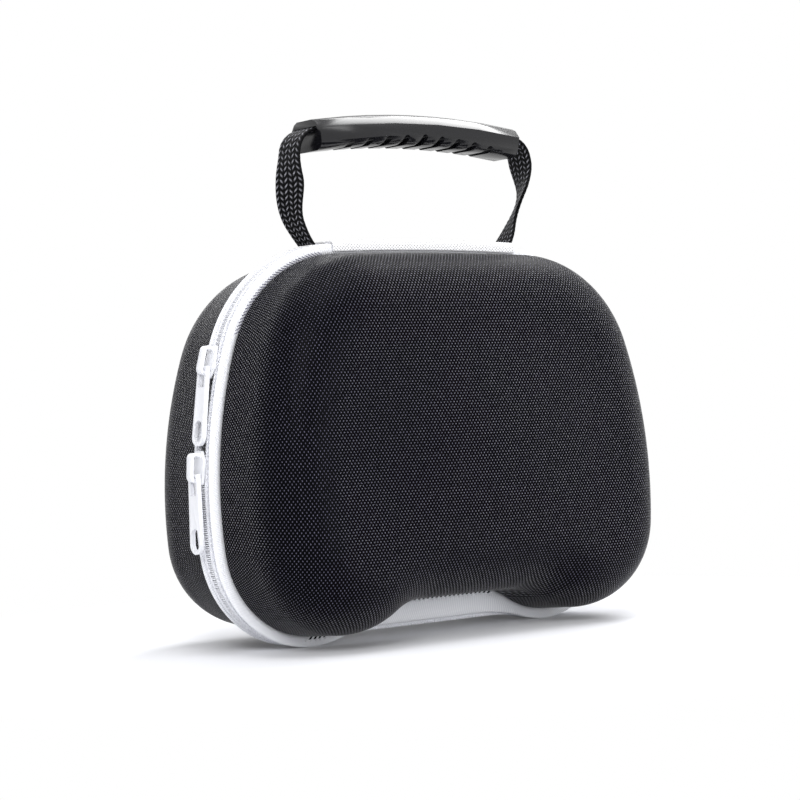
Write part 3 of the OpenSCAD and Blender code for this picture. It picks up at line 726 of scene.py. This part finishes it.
def polyesterCoil():
    # white polyester monofilament, moulded smooth: a soft gloss on every loop
    material, tree, surface = newMaterial("moulded polyester coil", "#eceded", 0.38)
    cloud = fineNoise(tree, 2.5)
    dress(tree, surface, cloud, "#dddfe6", "#f2f2f5", cloud, 0.00005, 0.3)
    return material


tape = wovenTape()
coil = polyesterCoil()
for name, body, side, phase in (("back", "base", 1, 0), ("front", "lid", -1, 0.5)):
    makeTape(name + "ZipperTape", name + "_zipper_tape", body, side, tape)
    makeTeeth(name + "Coil", name + "_zipper_teeth", body, side, phase, coil)
print("zipper made")

# hinge strip, folded over both bindings along the crown


def makeStrip(s, material):
    # the section is the middle line of the fold, two legs and a top joined by quarter circles,
    # moved half the thickness to either side; it is swept along the crown's arc
    top = outlineSet["crownR"] + outlineSet["bandOut"] + s["gap"] + s["thick"] / 2
    outY = bindingSet["rimY"] + bindingSet["width"] + s["gap"] + s["thick"] / 2
    leg = [[top - s["lap"] - s["thick"] / 2, outY], [top - s["bendR"], outY]]
    bend = arcPoints((top - s["bendR"], outY - s["bendR"]), s["bendR"], 90, 0, 8)
    half = np.concatenate([leg, bend])
    line = evenly(np.concatenate([half, half[::-1] * [1, -1]]), s["across"])
    normal = leftOf(np.gradient(line, axis=0)) * s["thick"] / 2
    section = np.concatenate([line + normal, (line - normal)[::-1]])
    reach = math.asin(s["length"] / 2 / top)
    middle = math.asin(s["handleX"] / top)
    a = np.linspace(middle - reach, middle + reach, s["along"])[:, None]
    points = np.stack([section[:, 0] * np.sin(a), section[:, 1] * np.ones_like(a),
                       section[:, 0] * np.cos(a) + crownC[1]], -1) * mm
    run = runLength(section, closed=True)
    cloth = np.stack(np.broadcast_arrays(a * top, run[None]), -1) * mm
    mesh = surfaceMesh([gridPart(points, cloth, closeV=True, caps=True)])
    strip = newPiece("hingeStrip", mesh, None, material, ["hinge_strip"])
    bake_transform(strip)


def stripWeave():
    # white polyester strap: a close plain weave, with a dark dot of painted shade in every hollow
    material, tree, surface = newMaterial("white woven strip, painted hollow shade", "#c4c5cb", 0.8, sheen=(0.1, 0.5))
    u, v = clothAxes(tree)
    dots = staggered(tree, u, v, stripSet["weaveU"], stripSet["weaveV"])
    # painted shade: dark where the weave sinks lowest, white on its raised dots
    hollowShade = addNode(tree, "ShaderNodeMath", {"operation": "POWER", 1: 2.0}, {0: dots})
    fall = addNode(tree, "ShaderNodeMath", {"operation": "SUBTRACT", 0: 1.0}, {1: dots})
    dress(tree, surface, hollowShade, "#f6f6f8", "#4e4f55", fall, 0.00015, 0.5)
    return material


makeStrip(stripSet, stripWeave())
print("hinge strip made")

# handle: webbing sewn into the seam at both feet and a moulded grip
handleSet = {"x": 3.0, "y": 1.0, "footX": 42.0, "width": 12.0, "footW": 9.0, "thick": 1.1,
             "twistLeft": 22, "twistRight": 32, "twistPower": 1.6, "gripH": 38.5, "gripL": 86.0,
             "archR": 300.0, "channelUp": 1.8, "bendR": 8.0, "legR": 38.0, "clear": 0.3,
             "footRise": 6.5, "footEase": 15.0, "rows": 560, "columns": 43, "yarnColumns": 6,
             "yarnPitch": 1.9, "yarnHigh": 0.26, "yarnSlant": 0.9, "yarnPower": 0.7}


def bandTop(x):
    # height of the band's upper line at x: the crown's arc, then the corner's
    s = outlineSet
    crown = s["crownR"] + s["bandOut"]
    if abs(x) < crown * math.cos(math.radians(crownEnd)):
        return crownC[1] + math.sqrt(crown ** 2 - x * x)
    corner = s["cornerR"] + s["bandOut"]
    return cornerC[1] + math.sqrt(corner ** 2 - (abs(x) - cornerC[0]) ** 2)


def halfPath(s, endZ):
    # one side of the webbing's centre line as [x, z]: along the grip's arch, round its end, and down
    # the leg, whose arc touches the bend's from outside and ends at the foot
    arch = np.array([0, crownZ + s["gripH"] - s["archR"]])
    archR = s["archR"] + s["channelUp"]
    end = 90 - math.degrees(s["gripL"] / 2 / s["archR"])
    bend = arch + (archR - s["bendR"]) * np.array([math.cos(math.radians(end)),
                                                   math.sin(math.radians(end))])
    foot = np.array([s["footX"], endZ])
    reach = foot - bend
    gap = np.linalg.norm(reach)
    along = (gap ** 2 + (s["legR"] - s["bendR"]) ** 2 - s["legR"] ** 2) / (2 * gap)
    aside = math.sqrt((s["legR"] - s["bendR"]) ** 2 - along ** 2)
    leg = bend + (reach * along + np.array([reach[1], -reach[0]]) * aside) / gap
    turn = heading(leg, bend)
    return np.concatenate([[[0, arch[1] + archR]], arcPoints(arch, archR, 90, end, 40),
                           arcPoints(bend, s["bendR"], end, turn, 30),
                           arcPoints(leg, s["legR"], turn, heading(leg, foot), 60)]), bend[1]


def makeWebbing(s, material):
    # the band narrows to its feet and twists by a power of a sine up each leg. Its relief is a
    # chevron weave: the yarns of neighbouring columns slant opposite ways.
    right, legTop = halfPath(s, bandTop(s["x"] + s["footX"]) + s["clear"])
    left, _ = halfPath(s, bandTop(s["x"] - s["footX"]) + s["clear"])
    path = evenly(np.concatenate([left[:0:-1] * [-1, 1], right]), s["rows"])
    normal = leftOf(np.gradient(path, axis=0))
    normal[0], normal[-1] = [-1, 0], [1, 0]
    rise = np.clip((path[:, 1] - crownZ - s["footRise"]) / s["footEase"], 0, 1)
    free = rise * rise * (3 - 2 * rise)
    climb = np.clip((path[:, 1] - crownZ) / (legTop - crownZ), 0, 1)
    most = np.where(path[:, 0] < 0, s["twistLeft"], s["twistRight"])
    twist = np.radians(most) * np.sin(math.pi * climb) ** s["twistPower"]
    footY = s["footW"] / 2 + s["clear"]
    line = lifted(path + [s["x"], 0], footY + (s["y"] - footY) * free)
    across = lifted(normal * np.sin(twist)[:, None], np.cos(twist))
    out = lifted(normal * np.cos(twist)[:, None], -np.sin(twist))
    width = s["footW"] + (s["width"] - s["footW"]) * free
    run = runLength(line)[:, None] / s["yarnPitch"]
    column = np.linspace(0, s["yarnColumns"] * 0.9999, s["columns"])
    slant = (column % 1) * np.where(column.astype(int) % 2, 1, -1) * s["yarnSlant"]
    rounding = np.sin(math.pi * (column % 1)) ** s["yarnPower"]
    yarn = (0.5 + 0.5 * np.cos(2 * math.pi * (run + slant))) * rounding
    part = bandPart(line, across, out, width, s["thick"], yarn * s["yarnHigh"], s["columns"])
    heights = np.concatenate([yarn, yarn[:, ::-1]], 1)
    mesh = surfaceMesh([part], heights=heights)
    newPiece("handleWebbing", mesh, "base", material, ["handle_webbing"])


def wovenWebbing():
    # black polypropylene webbing: smooth, slightly shiny yarns, whose crowns are painted grey as a
    # painted highlight
    material, tree, surface = newMaterial("polypropylene webbing, chevron weave", "#131318", 0.45,
                                          specular=0.06)
    height = addNode(tree, "ShaderNodeAttribute", {"attribute_name": "relief"})
    # painted highlight: the relief's highest parts are coloured grey over the black yarn
    crown = addNode(tree, "ShaderNodeMath", {"operation": "POWER", 1: 4.0}, {0: (height, "Fac")})
    fibre = fineNoise(tree, 0.333)
    dress(tree, surface, crown, "#030304", "#a6a6ad", fibre, 0.00008, 0.4)
    return material


# bevels in millimetres, on edges over fromAngle. Faces within flatAngle are merged first.
bevelSet = {"grip": 0.5, "slider": 0.18, "pull": 0.25, "segments": 2, "fromAngle": 35.0,
            "flatAngle": 1.5, "weld": 0.002}


def softenedCopy(name, node, body, material, width):
    # a rigid node's own shape, its sharp edges rounded by a small bevel
    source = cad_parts[node]
    mesh = source.data.copy()
    mesh.transform(source.matrix_world)
    shape = bmesh.new()
    shape.from_mesh(mesh)
    bmesh.ops.remove_doubles(shape, verts=shape.verts, dist=bevelSet["weld"] * mm)
    bmesh.ops.dissolve_limit(shape, angle_limit=math.radians(bevelSet["flatAngle"]),
                             verts=shape.verts, edges=shape.edges)
    shape.to_mesh(mesh)
    shape.free()
    mesh.polygons.foreach_set("use_smooth", np.ones(len(mesh.polygons), bool))
    piece = newPiece(name, mesh, body, material, [node])
    bevel = piece.modifiers.new("edges", "BEVEL")
    bevel.width, bevel.segments = width * mm, bevelSet["segments"]
    bevel.limit_method, bevel.angle_limit = "ANGLE", math.radians(bevelSet["fromAngle"])
    bevel.harden_normals = True


def gripPlastic():
    # black moulded polypropylene: satin, with a faint mould grain and a clear line of light on top
    material, tree, surface = newMaterial("moulded polypropylene, satin", "#1c1c20", 0.2, specular=0.42)
    grain = fineNoise(tree, 0.833)
    dress(tree, surface, grain, "#0b0b0d", "#131317", grain, 0.00002, 0.2)
    return material


def whiteEnamel():
    # stoved white enamel on die-cast zinc: glossy, with a slight orange peel
    material, tree, surface = newMaterial("stoved white enamel", "#ececf0", 0.22)
    peel = fineNoise(tree, 3.85)
    dress(tree, surface, peel, "#e0e1e6", "#e9eaee", peel, 0.00008, 0.25)
    return material


makeWebbing(handleSet, wovenWebbing())
softenedCopy("handleGrip", "handle_grip", "base", gripPlastic(), bevelSet["grip"])
enamel = whiteEnamel()
for name in ("upper", "lower"):
    for part in ("slider", "pull"):
        node = f"{name}_{part}"
        softenedCopy(name + part.capitalize(), node, node, enamel, bevelSet[part])
print("handle, sliders and pulls made")

# inside: bias tapes, net pocket with its hem, and the elastic straps with their overlap
insideSet = {"tapeT": 1.6, "tapeW": 3.0, "tapeEase": 0.6, "tapeWeave": 0.9, "netH": 84.0,
             "netY": 6.7, "netHalf": 78.0, "netPitch": 2.4, "netWave": 5.6, "netSwing": 0.8,
             "netR": 0.3, "netFrom": 1.5, "netGap": 0.8, "hemH": 9.0, "hemT": 1.1, "hemGap": 0.4,
             "hemOut": 0.3, "gather": 3.1, "gatherHigh": 0.16, "strapW": 25.0, "strapT": 1.0,
             "strapH": 74.0, "strapY": 9.0, "strapLegY": 6.7, "strapBend": 3.0, "strapSkin": 0.1,
             "strapGap": 1.2, "patchL": 30.0, "patchT": 1.6, "rib": 1.0, "ribHigh": 0.07,
             "elasticPitch": 1.4}
# what one strap takes up in depth, with its clearance on both sides
strapLayer = insideSet["strapT"] + 2 * insideSet["strapSkin"]


def makeInnerTape(name, node, body, side, material):
    # a flat tape with eased corners round the inside of the rim
    s = insideSet
    wall, y0, y1 = shellSet["wall"], shellSet["rimY"], shellSet["rimY"] + s["tapeW"]
    top, ease, cut = wall + s["tapeT"], s["tapeEase"], s["tapeEase"] / 4
    section = [(wall, y0), (wall, y1), (top - ease, y1), (top - cut, y1 - cut), (top, y1 - ease),
               (top, y0 + ease), (top - cut, y0 + cut), (top - ease, y0)]
    mesh = surfaceMesh([carriedPart(*sectionRings(section, shellRing), side)])
    newPiece(name, mesh, body, material, [node])


def makeNet(s, material):
    # rows of cords whose height is a cosine of x, each row half a wave from the next, so that they
    # touch at every crest. What would lie outside the shell is drawn in to its inner outline.
    edge = shellRing(shellSet["wall"] + s["netGap"])
    right = edge[:len(edge) // 2 + 1]
    widest = np.argmax(right[:, 0])
    upper, lower = right[:widest + 2], right[widest:]
    x = np.linspace(-s["netHalf"], s["netHalf"], 220)[None]
    rows = np.arange(s["netFrom"], s["netH"], s["netPitch"])
    sign = np.where(np.arange(len(rows)) % 2, 1, -1)[:, None]
    swing = s["netPitch"] / 2 * s["netSwing"] * sign
    z = baseZ + rows[:, None] + swing * np.cos(2 * math.pi * x / s["netWave"])
    half = np.where(z > sideC[1], np.interp(z, upper[::-1, 1], upper[::-1, 0]), right[widest, 0])
    x = np.clip(x * np.ones_like(z), -half, half)
    z = np.maximum(z, np.interp(np.abs(x), lower[::-1, 0], lower[::-1, 1]))
    line = np.stack([x, -s["netY"] * np.ones_like(x), z], -1)
    t = np.arange(4) * math.pi / 2
    spread = np.stack([np.zeros(4), np.cos(t), np.sin(t)], -1) * s["netR"]
    parts = [gridPart((row[:, None] + spread) * mm, closeV=True, caps=True) for row in line]
    newPiece("pocketNet", surfaceMesh(parts, weld=False), "lid", material, ["pocket_net"])


def straightBand(x0, x1, y, z, count):
    # a level line along X with its width upwards and its thickness across
    line = np.stack([np.linspace(x0, x1, count), np.full(count, y), np.full(count, z)], -1)
    return line, np.tile([0.0, 0.0, 1.0], (count, 1)), np.tile([0.0, 1.0, 0.0], (count, 1))


def makePocketHem(s, material):
    # an elastic hem, gathered: its thickness swells by a cosine along its length
    z = baseZ + s["netH"] + s["hemH"] / 2
    edge = shellRing(shellSet["wall"] + s["hemGap"])
    right = edge[:len(edge) // 2 + 1]
    upper = right[right[:, 1] > sideC[1]]
    half = np.interp(z + s["hemH"] / 2, upper[::-1, 1], upper[::-1, 0])
    line, across, out = straightBand(-half, half, -s["netY"] - s["hemOut"], z, 260)
    over = np.linspace(-1, 1, 24)
    gathers = s["gatherHigh"] * np.cos(2 * math.pi * line[:, :1] / s["gather"]) * (1 - over ** 2)
    part = bandPart(line, across, out, s["hemH"], s["hemT"], gathers, 24)
    newPiece("pocketHem", surfaceMesh([part]), "lid", material, ["pocket_hem"])


def strapReach():
    # the wall's inside at the straps' upper edge, less a small gap
    s = insideSet
    high = baseZ + s["strapH"] + s["strapW"] / 2 - sideC[1]
    inner = outlineSet["sideR"] - shellSet["wall"]
    return sideC[0] + math.sqrt(inner ** 2 - high ** 2) - s["strapGap"]


def makeStrap(name, node, side, y, material):
    # from the overlap outwards, round a quarter circle and down to its leg on the wall
    s = insideSet
    z = baseZ + s["strapH"]
    reach, middle = strapReach() - strapLayer / 2, y + strapLayer / 2
    turn = arcPoints((reach - s["strapBend"], middle - s["strapBend"]), s["strapBend"], 90, 0, 12)
    if middle - s["strapBend"] < s["strapLegY"]:
        turn = turn[turn[:, 1] > s["strapLegY"]]
    start = [[-s["patchL"] / 2, middle], [reach - s["strapBend"], middle]]
    flat = evenly(np.concatenate([start, turn, [[reach, s["strapLegY"]]]]), 220)
    line = np.column_stack([flat * [side, 1], np.full(len(flat), z)])
    out = np.column_stack([leftOf(np.gradient(flat, axis=0)) * [side, 1], np.zeros(len(flat))])
    across = np.tile([0.0, 0.0, 1.0], (len(flat), 1))
    over = np.linspace(-1, 1, 60)
    ribs = s["ribHigh"] * np.cos(math.pi * over * s["strapW"] / s["rib"]) * np.ones((len(flat), 1))
    part = bandPart(line, across, out, s["strapW"], s["strapT"], ribs, 60)
    newPiece(name, surfaceMesh([part]), "base", material, [node])


def makePatch(s, material):
    # the patch of loop pile between the two straps where they overlap
    y = s["strapY"] + strapLayer + s["patchT"] / 2
    line, across, out = straightBand(-s["patchL"] / 2, s["patchL"] / 2, y, baseZ + s["strapH"], 40)
    part = bandPart(line, across, out, s["strapW"], s["patchT"])
    newPiece("strapPatch", surfaceMesh([part]), "base", material, ["strap_patch"])


def biasTape():
    # dark woven bias tape with a fine rib across it
    material, tree, surface = newMaterial("polyester bias tape", "#2b2b31", 0.8)
    u, v = clothAxes(tree)
    dots = staggered(tree, u, v, insideSet["tapeWeave"], insideSet["tapeWeave"])
    # painted highlight on the weave's dots and painted shade in the gaps between them
    dress(tree, surface, dots, "#1b1b20", "#36363d", dots, 0.00015, 0.6)
    return material


def netCord():
    # knotless polyester netting, dull black
    material, tree, surface = newMaterial("knotless polyester net", "#1d1d22", 0.7)
    twist = fineNoise(tree, 0.556)
    dress(tree, surface, twist, "#121216", "#2c2c33", twist, 0.0001, 0.5)
    return material


def ribbedElastic():
    # black braided elastic: close ribs along it, broken up by the braid's crossings
    material, tree, surface = newMaterial("braided elastic", "#17171b", 0.65, sheen=(0.1, 0.5))
    u, v = clothAxes(tree)
    dots = staggered(tree, u, v, insideSet["elasticPitch"], insideSet["rib"])
    # painted highlight on the braid's crossings and painted shade in the gaps between them
    dress(tree, surface, dots, "#0e0e11", "#2d2d33", dots, 0.0002, 0.7)
    return material


def hookAndLoop():
    # charcoal loop pile: a dull tangle of fine nylon loops
    material, tree, surface = newMaterial("nylon loop pile", "#2a2a2f", 0.95, sheen=(0.3, 0.5))
    pile = fineNoise(tree, 0.455, 5.0)
    dress(tree, surface, pile, "#141417", "#3c3c43", pile, 0.0004, 0.9)
    return material


bias = biasTape()
for name, body, side in (("back", "base", 1), ("front", "lid", -1)):
    makeInnerTape(name + "InnerTape", name + "_inner_tape", body, side, bias)
makeNet(insideSet, netCord())
elastic = ribbedElastic()
makePocketHem(insideSet, elastic)
makeStrap("leftStrap", "left_strap", -1, insideSet["strapY"], elastic)
makeStrap("rightStrap", "right_strap", 1, insideSet["strapY"] + strapLayer + insideSet["patchT"],
          elastic)
makePatch(insideSet, hookAndLoop())
print("inside made")
